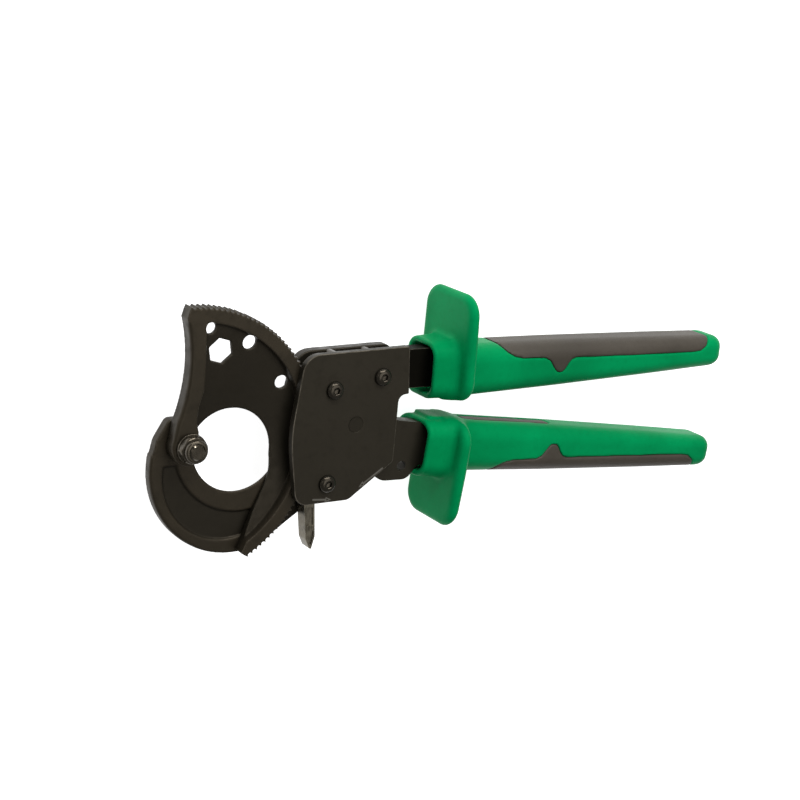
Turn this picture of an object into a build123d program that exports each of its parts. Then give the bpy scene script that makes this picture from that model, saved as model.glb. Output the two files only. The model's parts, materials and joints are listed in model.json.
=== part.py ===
from build123d import *
import os
from math import cos, radians, sin

# Ratcheting cable cutter, modelled lying on its back, in millimetres.
# While it is being drawn, the origin is on the blade pivot, in the shear plane's front side:
# +X runs along the tool to the handles, +Y to the fixed handle, +Z out of the front plate.
# The last section moves everything so that the origin is under the middle of the whole tool.

# ---------------------------------------------------------------- driving dimensions
# layers, from the front plate down to the rear plate
PLATE_T = 3.0
LAYER_GAP = 0.2
BLADE_T = 6.0
FIXED_T = 4.5
SHEAR_GAP = 0.1
FRONT_BACK_Z = LAYER_GAP
FRONT_TOP_Z = FRONT_BACK_Z + PLATE_T
FIXED_FRONT_Z = -BLADE_T - SHEAR_GAP
FIXED_BACK_Z = FIXED_FRONT_Z - FIXED_T
MECH_TOP_Z = -0.1
MECH_BACK_Z = FIXED_FRONT_Z + 0.2
MID_Z = (FRONT_TOP_Z + FIXED_BACK_Z) / 2

# movable blade
TOOTH_TIP_R = 51.9
TOOTH_DEPTH = 1.0
TOOTH_COUNT = 63
TOOTH_START = -59.0
TOOTH_END = 93.0
RIM_INNER_R = 46.4
BOSS_R = 7.0
BOSS_INNER_R = 5.6
BOSS_INNER_X = 1.0
MOVABLE_ARC_C = (18.2, -4.4)
MOVABLE_ARC_R = 16.8
GRIND_SLOPE = 0.125
EDGE_LAND = 1.0
WEB_T = 1.8
POCKET_R = 47.4
POCKET_X = 1.2
POCKET_Y = 12.0
BLADE_HOLES = ((5.4, 43.9, 2.15), (21.9, 37.8, 2.7), (36.9, 21.8, 2.55))
HEX_HOLE = (10.6, 35.0)
HEX_HOLE_R = 5.05

# fixed blade
HOOK_C = (22.85, -9.23)
HOOK_R = 35.4
FIXED_ARC_C = (22.2, -2.5)
FIXED_ARC_R = 17.8
LAND_C = (24.8, -0.1)
LAND_R = 27.8
RELIEF_C = (19.6, -12.0)
RELIEF_R = 27.3
RELIEF_DEPTH = 0.9

# blade pivot
BOLT_R = 3.0
BUSH_R = 4.2
RUN_GAP = 0.05
WASHER_R = 5.5
WASHER_T = 1.0
NUT_AF = 10.0
NUT_HEX_H = 3.0
NUT_COLLAR_R = 4.4
NUT_COLLAR_H = 1.8

# frame
SCREW_UP = (56.2, 19.2)
SCREW_BACK = (76.7, 23.3)
SCREW_LOW = (56.2, -17.3)
STOP_PINS = ((58.0, 30.5), (72.9, 30.8))
STOP_PIN_R = 2.2
SCREW_R = 2.0
SCREW_HEAD_R = 3.5
SCREW_HEAD_H = 2.0
SCREW_KEY_AF = 2.5
SPACER_R = 4.0
SLEEVE_R = 3.0
NUT_M4_AF = 7.0
NUT_M4_H = 2.8

# moving handle and ratchet
LEVER_PIVOT = (66.8, 5.1)
LEVER_PIN_R = 3.0
PAWL_PIVOT = (58.8, 9.5)
PAWL_PIN_R = 1.5
PAWL_NOSE = (52.55, 1.6)
PAWL_T = 2.7
FORK_SLOT = 2.9
HOLD_NOSE = (47.3, -22.8)
HOLD_T = 3.3

TETHER_HOLE = (91.1, -14.2)
TETHER_R = 2.0
SPRING_POCKET_R = 5.6
SPRING_POCKET_H = 2.4
RIVET_R = 0.8

# grips, in their own frame: x along the grip from the guard's front face, y away from the other grip
FIXED_GRIP_X = 108.5
MOVING_GRIP_X = 109.9
FIXED_GRIP_Y = 23.2
FIXED_GRIP_TILT = 1.06
MOVING_GRIP_Y = -6.8
MOVING_GRIP_TILT = -5.26
GRIP_Z = MID_Z - 0.3
FIXED_SLEEVE_L = 10.6
MOVING_SLEEVE_L = 12.9
MOVING_MOUTH_SLANT = 7.5
SLEEVE_HALF_Z = 10.6
SLEEVE_IN = -10.5
SLEEVE_OUT = 12.9
SLEEVE_WALL = 2.4
MOUTH_FLOOR_X = 0.5
GUARD_HALF_Z = 17.5
GUARD_TOP = 31.7
GUARD_X = 0.0
GUARD_T = 5.0
GRIP_END = 138.2
GRIP_SECTIONS = (
    # x, width along Z, height along Y, corner radius
    (0.0, 20.4, 21.4, 7.0),
    (14.0, 20.4, 20.6, 7.0),
    (50.0, 19.6, 19.2, 6.8),
    (100.0, 18.4, 16.0, 5.8),
    (GRIP_END, 17.2, 13.2, 5.0),
)
COVER_T = 1.8
PAD_DEPTH = 0.9


# ---------------------------------------------------------------- helpers
def polar(radius, angle, centre=(0, 0)):
    """The point at a radius and an angle in degrees about a centre."""
    return (centre[0] + radius * cos(radians(angle)), centre[1] + radius * sin(radians(angle)))


def prism(sketch, z_low, z_high):
    """A flat sketch raised between two heights."""
    return Pos(0, 0, z_low) * extrude(sketch, z_high - z_low, dir=(0, 0, 1))


def disc(centre, radius, z_low, z_high):
    """A round bar along Z."""
    return prism(Pos(*centre) * Circle(radius), z_low, z_high)


def hexagon(centre, across_flats, z_low, z_high, turn=0):
    """A six-sided bar along Z."""
    flat = RegularPolygon(across_flats / 2, 6, major_radius=False, rotation=turn)
    return prism(Pos(*centre) * flat, z_low, z_high)


def rounded(*corners):
    """A face from (x, y, corner radius) in order."""
    path = FilletPolyline(*[(x, y) for x, y, _ in corners], radius=[r for _, _, r in corners], close=True)
    return make_face(path)


def boss_sketch(radius):
    """The round eye about the blade pivot, trimmed towards the cable opening."""
    left = Polygon((-9, -9), (BOSS_INNER_X, -9), (BOSS_INNER_X, 9), (-9, 9), align=None)
    return (Circle(radius) & left) + Circle(BOSS_INNER_R)


# ---------------------------------------------------------------- movable blade
def movable_blade():
    pitch = (TOOTH_END - TOOTH_START) / TOOTH_COUNT
    edges = []
    for tooth in range(TOOTH_COUNT):
        start = TOOTH_START + tooth * pitch
        valley = polar(TOOTH_TIP_R - TOOTH_DEPTH, start + pitch / 2)
        edges.append(ThreePointArc(polar(TOOTH_TIP_R, start), valley, polar(TOOTH_TIP_R, start + pitch)))
    heel = (-4.3, 47.8)
    spine_foot = (-5.5, 9.0)
    boss_left = (-BOSS_R, 0)
    edges.append(Line(polar(TOOTH_TIP_R, TOOTH_END), heel))
    edges.append(ThreePointArc(heel, (-1.8, 31.0), spine_foot))
    edges.append(Line(spine_foot, boss_left))
    edges.append(Line(boss_left, (0, 0)))
    arc_start = polar(MOVABLE_ARC_R, 144.5, MOVABLE_ARC_C)
    arc_top = polar(MOVABLE_ARC_R, 72, MOVABLE_ARC_C)
    arc_end = polar(MOVABLE_ARC_R, 0, MOVABLE_ARC_C)
    tail = (23.9, -42.9)
    edges.append(Line((0, 0), arc_start))
    edges.append(ThreePointArc(arc_start, arc_top, arc_end))
    edges.append(Spline(arc_end, (35.5, -12.0), (31.0, -24.4), tail, tangents=((0, -1), (-0.38, -0.92))))
    edges.append(Line(tail, polar(TOOTH_TIP_R, TOOTH_START)))
    sketch = make_face(edges) + boss_sketch(BOSS_R)
    for x, y, radius in BLADE_HOLES:
        sketch -= Pos(x, y) * Circle(radius)
    sketch -= Pos(*HEX_HOLE) * RegularPolygon(HEX_HOLE_R, 6, rotation=44)
    sketch -= Circle(BUSH_R + RUN_GAP)
    blade = prism(sketch, -BLADE_T, 0)

    # the ground face is a shallow cone about the middle of the opening, inside the rim and the spine
    region = Circle(RIM_INNER_R) + Polygon((20, -25), (33, -32.6), (22.2, -44.6), (15, -40), align=None)
    side = Polygon((3.4, 60), (3.7, 36.2), (4.1, 28.8), (4.1, 21.4), (2.3, 15), (2.0, 9), (3.6, 5.6), (20, -10),
                   (14, -60), (80, -60), (80, 60), align=None)
    land_z = -BLADE_T + EDGE_LAND
    over = 0.5
    top_r = MOVABLE_ARC_R + (over - land_z) / GRIND_SLOPE
    cone = Cone(MOVABLE_ARC_R, top_r, over - land_z, align=(Align.CENTER, Align.CENTER, Align.MIN))
    cone = Pos(MOVABLE_ARC_C[0], MOVABLE_ARC_C[1], land_z) * cone
    blade -= cone & prism(region & side, land_z - over, over)

    # a pocket in the back leaves a web of even thickness round the lightening holes
    pocket_low = -BLADE_T - over
    foot_r = MOVABLE_ARC_R + (pocket_low - land_z + WEB_T) / GRIND_SLOPE
    head_r = MOVABLE_ARC_R + (WEB_T - land_z) / GRIND_SLOPE
    above = Cone(foot_r, head_r, -pocket_low, align=(Align.CENTER, Align.CENTER, Align.MIN))
    above = Pos(MOVABLE_ARC_C[0], MOVABLE_ARC_C[1], pocket_low) * above
    corner = Polygon((POCKET_X, POCKET_Y), (60, POCKET_Y), (60, 60), (POCKET_X, 60), align=None)
    return blade - (prism(Circle(POCKET_R) & corner, pocket_low, 0) - above)


# ---------------------------------------------------------------- fixed blade and rear plate
def fixed_blade():
    outer_start = polar(HOOK_R, 171.4, HOOK_C)
    outer_end = polar(HOOK_R, -71.7, HOOK_C)
    inner_start = polar(FIXED_ARC_R, -30, FIXED_ARC_C)
    inner_end = polar(FIXED_ARC_R, 190, FIXED_ARC_C)
    neck = (46, -8)
    edges = [
        ThreePointArc(outer_start, polar(HOOK_R, 231, HOOK_C), outer_end),
        Line(outer_end, (46, -34.0)),
        Line((46, -34.0), neck),
        Line(neck, inner_start),
        ThreePointArc(inner_start, polar(FIXED_ARC_R, -100, FIXED_ARC_C), inner_end),
        Line(inner_end, (0, 0)),
        Line((0, 0), outer_start),
    ]
    hook = make_face(edges) + boss_sketch(BOSS_R - 0.2)
    hook += rounded((0, -6, 0), (0, 9.4, 0.5), (-6.2, 9.2, 2.5), (-10.6, 1.5, 6), (-11.9, -5, 5), (-8, -12, 0))
    shank = rounded((44.9, -34.8, 0), (58.0, -25.8, 6), (66.5, -24.6, 4), (84.6, -12.0, 3), (87.0, -8.5, 3),
                    (86.2, 33.7, 4.5), (44.2, 32.2, 8), (41.4, 14, 30), (38.8, -4, 5), (38.0, -11.4, 0),
                    (36, -25, 0))
    sketch = hook + shank - Circle(BOLT_R)
    for centre in (SCREW_UP, SCREW_BACK, SCREW_LOW):
        sketch -= Pos(*centre) * Circle(SCREW_R)
    sketch -= Pos(*LEVER_PIVOT) * Circle(LEVER_PIN_R)
    blade = prism(sketch, FIXED_BACK_Z, FIXED_FRONT_Z)

    # crescent relief between the raised outer rim and the cutting land
    relief = Pos(*RELIEF_C) * Circle(RELIEF_R) - Pos(*LAND_C) * Circle(LAND_R)
    relief &= Polygon((-20, -8.3), (33, -8.3), (33, -60), (-20, -60), align=None)
    blade -= prism(relief, FIXED_FRONT_Z - RELIEF_DEPTH, FIXED_FRONT_Z + 1)

    # the cutting edge is at the front, so the opening's wall is bevelled from the back
    land_z = FIXED_FRONT_Z - EDGE_LAND
    depth = land_z - FIXED_BACK_Z + 0.5
    cone = Cone(FIXED_ARC_R + 1.6 * depth, FIXED_ARC_R, depth, align=(Align.CENTER, Align.CENTER, Align.MIN))
    cone = Pos(FIXED_ARC_C[0], FIXED_ARC_C[1], FIXED_BACK_Z - 0.5) * cone
    below = prism(Polygon((-20, -8.5), (46, -8.5), (46, -60), (-20, -60), align=None), FIXED_BACK_Z - 1, land_z)
    blade -= cone & below
    return blade


# ---------------------------------------------------------------- front plate
def front_plate():
    sketch = rounded((42.9, 32.9, 7.5), (87.8, 34.6, 0.8), (89.4, 15.9, 0.5), (85, 15.3, 3), (85, -10.9, 2),
                     (66.3, -24.8, 5), (43.6, -25.3, 5.5), (39.3, 1.5, 60))
    for centre in (SCREW_UP, SCREW_BACK, SCREW_LOW):
        sketch -= Pos(*centre) * Circle(SCREW_R)
    sketch -= Pos(*LEVER_PIVOT) * Circle(LEVER_PIN_R)
    return prism(sketch, FRONT_BACK_Z, FRONT_TOP_Z)


def handle_tang():
    """The bar between the plates that carries the fixed grip."""
    tang_end = 210
    sketch = rounded((72.3, 18.9, 4.3), (72.3, 27.7, 4.2), (77.6, 28.0, 1.5), (80.6, 32.4, 1.5), (103, 33.0, 3),
                     (111, 28.9, 5), (tang_end, 27.4, 1.5), (tang_end, 22.0, 1.5), (111, 18.4, 5), (103, 17.4, 3),
                     (81, 17.0, 4))
    return prism(sketch - Pos(*SCREW_BACK) * Circle(SCREW_R), FIXED_FRONT_Z, FRONT_BACK_Z)


# ---------------------------------------------------------------- blade pivot
def blade_pivot():
    head_t = 3.0
    washer_low = MECH_TOP_Z + 0.3
    washer_top = washer_low + WASHER_T
    hex_top = washer_top + NUT_HEX_H
    collar_top = hex_top + NUT_COLLAR_H
    bolt = disc((0, 0), BOLT_R, FIXED_BACK_Z, collar_top + 0.7)
    bolt = chamfer(bolt.edges().sort_by(Axis.Z)[-1], 0.5)
    head = disc((0, 0), 6.5, FIXED_BACK_Z - head_t, FIXED_BACK_Z)
    head = fillet(head.edges().sort_by(Axis.Z)[0], 1.2)
    head -= hexagon((0, 0), 4.0, FIXED_BACK_Z - head_t, FIXED_BACK_Z - head_t / 2)
    bush = disc((0, 0), BUSH_R, FIXED_FRONT_Z, washer_low) - disc((0, 0), BOLT_R, FIXED_FRONT_Z, washer_low)
    washer = disc((0, 0), WASHER_R, washer_low, washer_top) - disc((0, 0), BOLT_R, washer_low, washer_top)
    nut = hexagon((0, 0), NUT_AF, washer_top, hex_top)
    nut &= Pos(0, 0, washer_top) * Cone(NUT_AF * 0.62, NUT_AF * 0.5, NUT_HEX_H,
                                        align=(Align.CENTER, Align.CENTER, Align.MIN))
    collar = disc((0, 0), NUT_COLLAR_R, hex_top, collar_top)
    nut += fillet(collar.edges().sort_by(Axis.Z)[-1], 0.8)
    nut -= disc((0, 0), BOLT_R, washer_top, collar_top)
    return bolt + head, bush, washer, nut


# ---------------------------------------------------------------- frame fasteners
def button_screw(centre):
    shank = disc(centre, SCREW_R, FIXED_BACK_Z - NUT_M4_H - 0.5, FRONT_TOP_Z)
    head = disc(centre, SCREW_HEAD_R, FRONT_TOP_Z, FRONT_TOP_Z + SCREW_HEAD_H)
    head = fillet(head.edges().sort_by(Axis.Z)[-1], 1.3)
    socket = hexagon(centre, SCREW_KEY_AF, FRONT_TOP_Z + 0.7, FRONT_TOP_Z + SCREW_HEAD_H, 15)
    return shank + head - socket


def tube(centre, outer, inner, z_low, z_high):
    return disc(centre, outer, z_low, z_high) - disc(centre, inner, z_low, z_high)


def plate_nut(centre):
    body = hexagon(centre, NUT_M4_AF, FIXED_BACK_Z - NUT_M4_H, FIXED_BACK_Z, 10)
    return body - disc(centre, SCREW_R, FIXED_BACK_Z - NUT_M4_H, FIXED_BACK_Z)


# ---------------------------------------------------------------- moving handle
def handle_lever():
    sketch = rounded((55.4, 7.0, 2.5), (56.4, 13.4, 3), (64.5, 14.8, 6), (74, 12.2, 8), (81, 7.2, 6),
                     (88, 4.4, 10), (98, 3.0, 10), (110, -1.4, 8), (220, -14.2, 1.5), (220, -20.2, 1.5),
                     (110, -13.4, 8), (98, -14.6, 3), (94.2, -19.8, 5), (81.5, -19.6, 7), (70, -6.5, 8),
                     (61.5, -4.0, 4))
    sketch -= Pos(*LEVER_PIVOT) * Circle(LEVER_PIN_R + RUN_GAP)
    sketch -= Pos(*PAWL_PIVOT) * Circle(PAWL_PIN_R)
    sketch -= Pos(*TETHER_HOLE) * Circle(TETHER_R)
    lever = prism(sketch, MECH_BACK_Z, MECH_TOP_Z)
    middle = (MECH_BACK_Z + MECH_TOP_Z) / 2
    slot_end = LEVER_PIVOT[0] - LEVER_PIN_R - 1.2
    slot = prism(Polygon((50, -8), (slot_end, -8), (slot_end, 20), (50, 20), align=None),
                 middle - FORK_SLOT / 2, middle + FORK_SLOT / 2)
    pocket = disc(LEVER_PIVOT, SPRING_POCKET_R, MECH_TOP_Z - SPRING_POCKET_H, MECH_TOP_Z)
    return lever - slot - pocket


def drive_pawl():
    nose_x, nose_y = PAWL_NOSE
    arm = Polygon(PAWL_NOSE, (nose_x + 1.9, nose_y - 0.7), (60.9, 7.1), (57.2, 12.1), (55.8, 10.4), align=None)
    sketch = arm + Pos(*PAWL_PIVOT) * Circle(3.2) - Pos(*PAWL_PIVOT) * Circle(PAWL_PIN_R + RUN_GAP)
    middle = (MECH_BACK_Z + MECH_TOP_Z) / 2
    return prism(sketch, middle - PAWL_T / 2, middle + PAWL_T / 2)


def coil_spring(centre, mean_r, wire_r, turns, pitch, z_low):
    """A close-wound torsion spring with its inner end bent outwards."""
    height = turns * pitch
    path = Helix(pitch, height, mean_r)
    coil = sweep(Plane(path @ 0, z_dir=path % 0) * Circle(wire_r), path)
    leg = Cylinder(0.8 * wire_r, 5 * wire_r, rotation=(0, 90, 0), align=(Align.CENTER, Align.CENTER, Align.MIN))
    coil += Pos(mean_r, 0.6, 0.02) * leg
    return Pos(centre[0], centre[1], z_low) * coil


# ---------------------------------------------------------------- holding pawl and release lever
TAIL_BAR = ((51.0, -19.0), (52.6, -39.0), (53.6, -39.0), (53.2, -19.0))


def holding_pawl():
    nose = Polygon(HOLD_NOSE, (48.4, -24.6), (52.6, -25.4), (58.0, -19.5), (51.0, -15.2), align=None)
    sketch = nose + Pos(*SCREW_LOW) * Circle(5.2) + Polygon(*TAIL_BAR, align=None)
    sketch -= Pos(*SCREW_LOW) * Circle(SLEEVE_R + RUN_GAP)
    return prism(sketch, MECH_BACK_Z, MECH_BACK_Z + HOLD_T) - release_rivet()


def release_lever():
    outer = rounded((49.2, -25.7, 0.5), (53.8, -25.7, 0.5), (55.1, -39.5, 3), (53.9, -44.6, 0.4),
                    (53.0, -44.2, 0.4), (51.2, -40.5, 3))
    body = prism(outer, MECH_BACK_Z, MECH_TOP_Z - 0.3)
    body -= prism(Polygon(*TAIL_BAR, align=None), MECH_BACK_Z - 1, MECH_BACK_Z + HOLD_T)
    panel_z = MECH_TOP_Z - 0.3 - 0.6
    upper_panel = rounded((50.2, -27.8, 0.4), (53.2, -27.8, 0.4), (53.9, -35.0, 0.4), (51.1, -35.0, 0.4))
    lower_panel = rounded((51.6, -37.2, 0.4), (54.3, -37.2, 0.4), (54.3, -40.0, 0.8), (53.6, -43.2, 0.2),
                          (52.4, -41.0, 0.8))
    body -= prism(upper_panel + lower_panel, panel_z, MECH_TOP_Z)
    return body - release_rivet()


def release_rivet():
    return Pos(51.7, -28.2, MECH_BACK_Z + HOLD_T / 2) * Cylinder(RIVET_R, 5.4, rotation=(0, 90, 0))


# ---------------------------------------------------------------- grips
def grip_section(x, width, height, corner, shrink=0):
    """A rounded section square to the grip's own x axis."""
    face = RectangleRounded(height - 2 * shrink, width - 2 * shrink, corner - shrink)
    return Plane((x, 0, 0), x_dir=(0, 1, 0), z_dir=(1, 0, 0)) * face


def grip_loft(shrink=0):
    return loft([grip_section(x, w, h, r, shrink) for x, w, h, r in GRIP_SECTIONS])


def grip_shapes(sleeve_l, mouth_slant=0):
    """The green moulding, its soft outer cover and its inner pad, in the grip's own frame."""
    body = grip_loft()
    body = fillet(body.faces().sort_by(Axis.X)[-1].edges(), 3.5)
    sleeve_mid = (SLEEVE_IN + SLEEVE_OUT) / 2
    sleeve_h = SLEEVE_OUT - SLEEVE_IN
    sleeve_plane = Plane((-sleeve_l - 3, sleeve_mid, 0), x_dir=(0, 1, 0), z_dir=(1, 0, 0))
    sleeve = extrude(sleeve_plane * RectangleRounded(sleeve_h, 2 * SLEEVE_HALF_Z, 6.5), sleeve_l + 5)
    beyond = Box(20, 80, 80, align=(Align.MAX, Align.CENTER, Align.CENTER))
    sleeve -= Location((-sleeve_l, 0, 0), (0, mouth_slant, 0)) * beyond
    guard_mid = (SLEEVE_IN - 0.3 + GUARD_TOP) / 2
    guard_h = GUARD_TOP - SLEEVE_IN + 0.3
    guard_plane = Plane((GUARD_X, guard_mid, 0), x_dir=(0, 1, 0), z_dir=(1, 0, 0))
    guard = extrude(guard_plane * RectangleRounded(guard_h, 2 * GUARD_HALF_Z, 8.5), GUARD_T)
    guard = fillet(guard.edges().filter_by(Plane.YZ), 1.9)
    cavity_h = sleeve_h - 2 * SLEEVE_WALL
    cavity_w = 2 * (SLEEVE_HALF_Z - SLEEVE_WALL)
    cavity = extrude(sleeve_plane * RectangleRounded(cavity_h, cavity_w, 4.2), sleeve_l + 3 + MOUTH_FLOOR_X)
    moulding = body + guard + sleeve

    cover_outline = rounded((13.5, 15.5, 0), (21.6, 9.6, 4), (27.6, 4.6, 7), (44.0, 3.4, 3), (49.2, -2.7, 1.6),
                            (52.2, -2.7, 1.6), (56.8, 3.0, 3), (90, 1.6, 30), (122, 0.6, 6), (127.5, 2.8, 4),
                            (131.0, 9.5, 3), (131.0, 15.5, 0))
    shell = body - grip_loft(COVER_T)
    cover = shell & prism(cover_outline, -20, 20)
    pad_plane = Plane((0, 0, 0), x_dir=(1, 0, 0), z_dir=(0, -1, 0))
    strip = Pos(30, 0) * RectangleRounded(44, 5.6, 2)
    pad = shell & extrude(pad_plane * strip, 20)
    pad -= grip_loft(PAD_DEPTH)
    return moulding - cover - pad - cavity, cover, pad


def place_fixed(shape):
    return Location((FIXED_GRIP_X, FIXED_GRIP_Y, GRIP_Z), (0, 0, FIXED_GRIP_TILT)) * shape


def place_moving(shape):
    return Location((MOVING_GRIP_X, MOVING_GRIP_Y, GRIP_Z), (0, 0, MOVING_GRIP_TILT)) * mirror(shape, Plane.XZ)


# ---------------------------------------------------------------- assembly
nodes = {}
nodes["movable_blade"] = movable_blade()
nodes["fixed_blade"] = fixed_blade()
nodes["front_plate"] = front_plate()
nodes["handle_tang"] = handle_tang()
bolt, bush, washer, lock_nut = blade_pivot()
nodes["blade_pivot_bolt"] = bolt
nodes["pivot_bush"] = bush
nodes["pivot_washer"] = washer
nodes["pivot_lock_nut"] = lock_nut
nodes["frame_screws"] = Compound([button_screw(c) for c in (SCREW_UP, SCREW_BACK, SCREW_LOW)])
nodes["frame_nuts"] = Compound([plate_nut(c) for c in (SCREW_UP, SCREW_BACK, SCREW_LOW)])
nodes["frame_spacers"] = Compound(
    [tube(SCREW_UP, SPACER_R, SCREW_R, FIXED_FRONT_Z, FRONT_BACK_Z)]
    + [disc(c, STOP_PIN_R, FIXED_FRONT_Z, FRONT_BACK_Z) for c in STOP_PINS])
nodes["release_pivot_sleeve"] = tube(SCREW_LOW, SLEEVE_R, SCREW_R, FIXED_FRONT_Z, FRONT_BACK_Z)
nodes["lever_pivot_pin"] = disc(LEVER_PIVOT, LEVER_PIN_R, FIXED_BACK_Z, FRONT_TOP_Z)
nodes["handle_lever"] = handle_lever()
nodes["drive_pawl"] = drive_pawl()
nodes["drive_pawl_pin"] = disc(PAWL_PIVOT, PAWL_PIN_R, MECH_BACK_Z, MECH_TOP_Z)
nodes["drive_pawl_spring"] = coil_spring(LEVER_PIVOT, 4.0, 0.3, 2.5, 0.65, MECH_TOP_Z - 2.0)
nodes["holding_pawl"] = holding_pawl()
nodes["holding_pawl_spring"] = coil_spring(SCREW_LOW, 3.7, 0.3, 2.5, 0.65, MECH_TOP_Z - 2.05)
nodes["release_lever"] = release_lever()
nodes["release_rivet"] = release_rivet()

moulding, cover, pad = grip_shapes(FIXED_SLEEVE_L)
nodes["fixed_grip"] = place_fixed(moulding) - nodes["handle_tang"]
nodes["fixed_grip_cover"] = place_fixed(cover)
nodes["fixed_grip_pad"] = place_fixed(pad)
moulding, cover, pad = grip_shapes(MOVING_SLEEVE_L, MOVING_MOUTH_SLANT)
nodes["moving_grip"] = place_moving(moulding) - nodes["handle_lever"]
nodes["moving_grip_cover"] = place_moving(cover)
nodes["moving_grip_pad"] = place_moving(pad)

# the origin goes under the middle of the whole tool, on the level that it lies on
boxes = [shape.bounding_box() for shape in nodes.values()]
middle_x = (min(b.min.X for b in boxes) + max(b.max.X for b in boxes)) / 2
middle_y = (min(b.min.Y for b in boxes) + max(b.max.Y for b in boxes)) / 2
lowest_z = min(b.min.Z for b in boxes)
home = Location((-middle_x, -middle_y, -lowest_z))

os.makedirs("parts", exist_ok=True)
for name, shape in nodes.items():
    export_step(home * shape, f"parts/{name}.step")
print("origin moved by", round(-middle_x, 3), round(-middle_y, 3), round(-lowest_z, 3))
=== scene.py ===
import json
import math
import bmesh
import bpy
import numpy as np
from mathutils import Matrix, Vector


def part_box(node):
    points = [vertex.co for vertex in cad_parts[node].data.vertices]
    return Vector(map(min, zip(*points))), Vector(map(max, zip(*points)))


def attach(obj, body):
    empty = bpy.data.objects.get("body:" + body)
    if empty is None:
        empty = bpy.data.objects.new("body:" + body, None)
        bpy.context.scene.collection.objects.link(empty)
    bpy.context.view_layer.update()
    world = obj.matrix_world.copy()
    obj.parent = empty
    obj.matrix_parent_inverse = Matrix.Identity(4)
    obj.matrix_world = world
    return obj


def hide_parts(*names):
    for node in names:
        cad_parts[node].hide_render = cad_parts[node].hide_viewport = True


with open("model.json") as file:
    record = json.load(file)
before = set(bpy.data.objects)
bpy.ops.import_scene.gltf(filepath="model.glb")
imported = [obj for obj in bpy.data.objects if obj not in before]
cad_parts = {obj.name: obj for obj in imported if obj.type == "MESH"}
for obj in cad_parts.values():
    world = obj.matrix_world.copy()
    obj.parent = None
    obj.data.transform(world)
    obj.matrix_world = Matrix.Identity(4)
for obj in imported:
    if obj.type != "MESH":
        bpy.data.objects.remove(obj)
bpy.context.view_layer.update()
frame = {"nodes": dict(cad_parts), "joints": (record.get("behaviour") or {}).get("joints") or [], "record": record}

MM = 0.001

# ------------------------------------------------------------------ drawing frame
# Lengths below are in millimetres in the drawing frame: origin on the blade pivot, z = 0 at the
# front face of the movable blade, +X to the grips, +Y to the fixed grip. HOME moves it to the row frame.
JOINTS = {j["name"]: j for j in frame["joints"]}
PIVOT_HEIGHT = 3.0
HOME = Vector(JOINTS["blade_pivot"]["pos_m"]) + Vector((0, 0, PIVOT_HEIGHT * MM))
HOME_MM = np.array(HOME) / MM


def home(x, y, z):
    return Vector((x, y, z)) * MM + HOME


# ------------------------------------------------------------------ camera
# The photograph's view of the drawing frame, which is first turned in plan: a rotation vector in
# radians, then a shift in millimetres to the camera's own frame, which looks along its +z.
LENS = 81.0
SENSOR = 36.0
CAM_TURN = (-2.7726, -0.1766, -0.8280)
CAM_SHIFT = (-75.34, 17.27, 647.41)
PLAN_TURN = math.radians(6.2)


def make_camera():
    axis = Vector(CAM_TURN)
    turn = Matrix.Rotation(axis.length, 3, axis.normalized()) @ Matrix.Rotation(PLAN_TURN, 3, "Z")
    data = bpy.data.cameras.new("camera")
    data.sensor_width = SENSOR
    data.lens = LENS
    data.clip_start = 0.01
    camera = bpy.data.objects.new("camera", data)
    world = (turn.transposed() @ Matrix(((1, 0, 0), (0, -1, 0), (0, 0, -1)))).to_4x4()
    world.translation = home(*(-(turn.transposed() @ Vector(CAM_SHIFT))))
    camera.matrix_world = world
    bpy.context.scene.collection.objects.link(camera)
    bpy.context.scene.camera = camera


make_camera()


# ------------------------------------------------------------------ materials
NOISE_ROUGH = 0.55


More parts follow.
